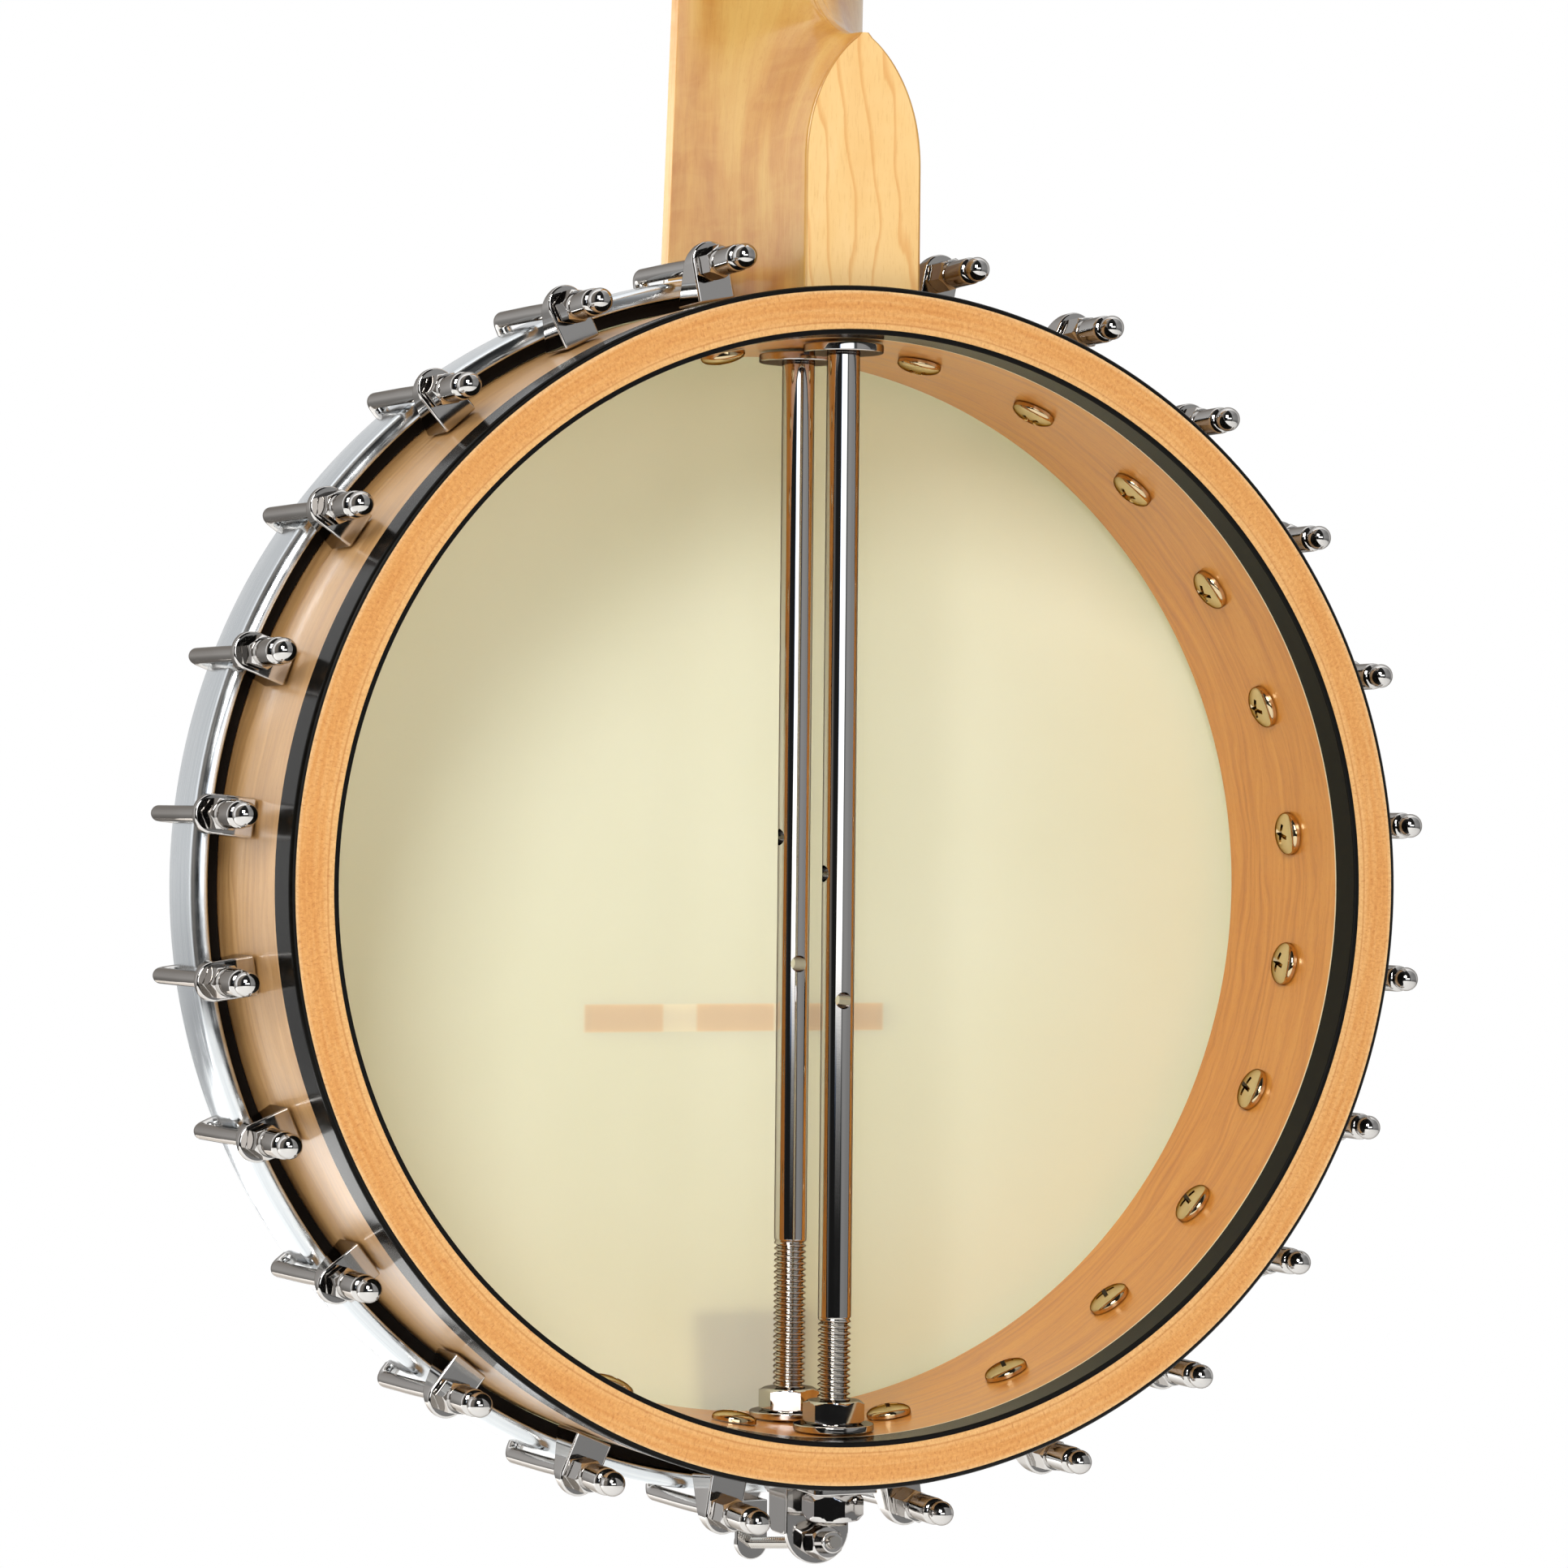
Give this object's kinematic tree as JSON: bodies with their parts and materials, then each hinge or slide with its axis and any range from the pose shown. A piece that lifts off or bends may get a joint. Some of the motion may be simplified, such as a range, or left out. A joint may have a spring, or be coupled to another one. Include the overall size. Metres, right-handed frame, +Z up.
{
  "type": "open-back five-string banjo",
  "caption": "Open-back banjo: laminated round pot with a drum head held by hooks and nuts, long fretted neck, strings over a bridge to geared tuners.",
  "frame": {"origin": "the point between a wall hanger's two arms, under the peghead's shoulders, on the banjo's middle line", "axes": "+Z up the neck along the pot's face, -Y out of the drum head, +X to the right seen from the front (the first string's side)"},
  "size_m": [0.3072, 0.1131, 0.9489],
  "materials": {
    "rim_maple": "glossy amber lacquer over laminated maple",
    "ring_plate": "bright nickel plate",
    "head_film": "frosted translucent film",
    "hoop_alloy": "plain alloy",
    "hoop_nickel": "satin nickel plate",
    "rod_steel": "polished nickel plate",
    "tail_plate": "polished nickel plate",
    "bracket_chrome": "polished nickel plate",
    "neck_maple": "satin clear lacquer over maple",
    "board_wood": "clear lacquer over maple with nickel silver frets",
    "overlay_wood": "satin dark veneer",
    "nut_bone": "polished bone colour",
    "bridge_maple": "bare maple with a dark top",
    "string_steel": "plain and wound steel",
    "tuner_chrome": "polished plate",
    "tuner_button": "pearly gloss"
  },
  "bodies": {
    "banjo": {"rim": "rim_maple", "tone_ring": "ring_plate", "head": "head_film", "flesh_hoop": "hoop_alloy", "tension_hoop": "hoop_nickel", "coordinator_rod_front": "rod_steel", "coordinator_rod_back": "rod_steel", "rod_nut_front": "rod_steel", "rod_nut_back": "rod_steel", "tailpiece_hanger": "tail_plate", "tailpiece": "tail_plate", "neck": "neck_maple", "fingerboard": "board_wood", "peghead_overlay": "overlay_wood", "string_nut": "nut_bone", "bridge": "bridge_maple", "bracket_01": "bracket_chrome", "bracket_02": "bracket_chrome", "bracket_03": "bracket_chrome", "bracket_04": "bracket_chrome", "bracket_05": "bracket_chrome", "bracket_06": "bracket_chrome", "bracket_07": "bracket_chrome", "bracket_08": "bracket_chrome", "bracket_09": "bracket_chrome", "bracket_10": "bracket_chrome", "bracket_11": "bracket_chrome", "bracket_12": "bracket_chrome", "bracket_13": "bracket_chrome", "bracket_14": "bracket_chrome", "bracket_15": "bracket_chrome", "bracket_16": "bracket_chrome", "bracket_17": "bracket_chrome", "bracket_18": "bracket_chrome", "bracket_19": "bracket_chrome", "bracket_20": "bracket_chrome", "bracket_21": "bracket_chrome", "bracket_22": "bracket_chrome", "bracket_23": "bracket_chrome", "bracket_24": "bracket_chrome", "string_1": "string_steel", "tuner_1_housing": "tuner_chrome", "string_2": "string_steel", "tuner_2_housing": "tuner_chrome", "string_3": "string_steel", "tuner_3_housing": "tuner_chrome", "string_4": "string_steel", "tuner_4_housing": "tuner_chrome", "string_5": "string_steel", "tuner_5_housing": "tuner_chrome"},
    "post_1": {"tuner_1_post": "tuner_chrome"},
    "button_1": {"tuner_1_button": "tuner_button"},
    "post_2": {"tuner_2_post": "tuner_chrome"},
    "button_2": {"tuner_2_button": "tuner_button"},
    "post_3": {"tuner_3_post": "tuner_chrome"},
    "button_3": {"tuner_3_button": "tuner_button"},
    "post_4": {"tuner_4_post": "tuner_chrome"},
    "button_4": {"tuner_4_button": "tuner_button"},
    "post_5": {"tuner_5_post": "tuner_chrome"},
    "button_5": {"tuner_5_button": "tuner_button"}
  },
  "joints": [
    {"name": "button_1_turn", "type": "hinge", "parent": "banjo", "child": "button_1", "pos_m": [0.022, 0.02196, 0.04025], "axis": [0, -0.9603, 0.279], "continuous": true},
    {"name": "post_1_turn", "type": "hinge", "parent": "banjo", "child": "post_1", "pos_m": [0.022, 0.02196, 0.04025], "axis": [0, -0.9603, 0.279], "continuous": true},
    {"name": "button_2_turn", "type": "hinge", "parent": "banjo", "child": "button_2", "pos_m": [0.022, 0.03647, 0.09019], "axis": [0, -0.9603, 0.279], "continuous": true},
    {"name": "post_2_turn", "type": "hinge", "parent": "banjo", "child": "post_2", "pos_m": [0.022, 0.03647, 0.09019], "axis": [0, -0.9603, 0.279], "continuous": true},
    {"name": "button_3_turn", "type": "hinge", "parent": "banjo", "child": "button_3", "pos_m": [-0.022, 0.03647, 0.09019], "axis": [0, -0.9603, 0.279], "continuous": true},
    {"name": "post_3_turn", "type": "hinge", "parent": "banjo", "child": "post_3", "pos_m": [-0.022, 0.03647, 0.09019], "axis": [0, -0.9603, 0.279], "continuous": true},
    {"name": "button_4_turn", "type": "hinge", "parent": "banjo", "child": "button_4", "pos_m": [-0.022, 0.02196, 0.04025], "axis": [0, -0.9603, 0.279], "continuous": true},
    {"name": "post_4_turn", "type": "hinge", "parent": "banjo", "child": "post_4", "pos_m": [-0.022, 0.02196, 0.04025], "axis": [0, -0.9603, 0.279], "continuous": true},
    {"name": "button_5_turn", "type": "hinge", "parent": "banjo", "child": "button_5", "pos_m": [-0.023, -0.00865, -0.16295], "axis": [-1, 0, 0], "continuous": true},
    {"name": "post_5_turn", "type": "hinge", "parent": "banjo", "child": "post_5", "pos_m": [-0.023, -0.00865, -0.16295], "axis": [-1, 0, 0], "continuous": true}
  ],
  "couplings": [
    {"joint": "post_1_turn", "follows": "button_1_turn", "ratio": 0.25},
    {"joint": "post_2_turn", "follows": "button_2_turn", "ratio": 0.25},
    {"joint": "post_3_turn", "follows": "button_3_turn", "ratio": 0.25},
    {"joint": "post_4_turn", "follows": "button_4_turn", "ratio": 0.25},
    {"joint": "post_5_turn", "follows": "button_5_turn", "ratio": 0.25}
  ]
}
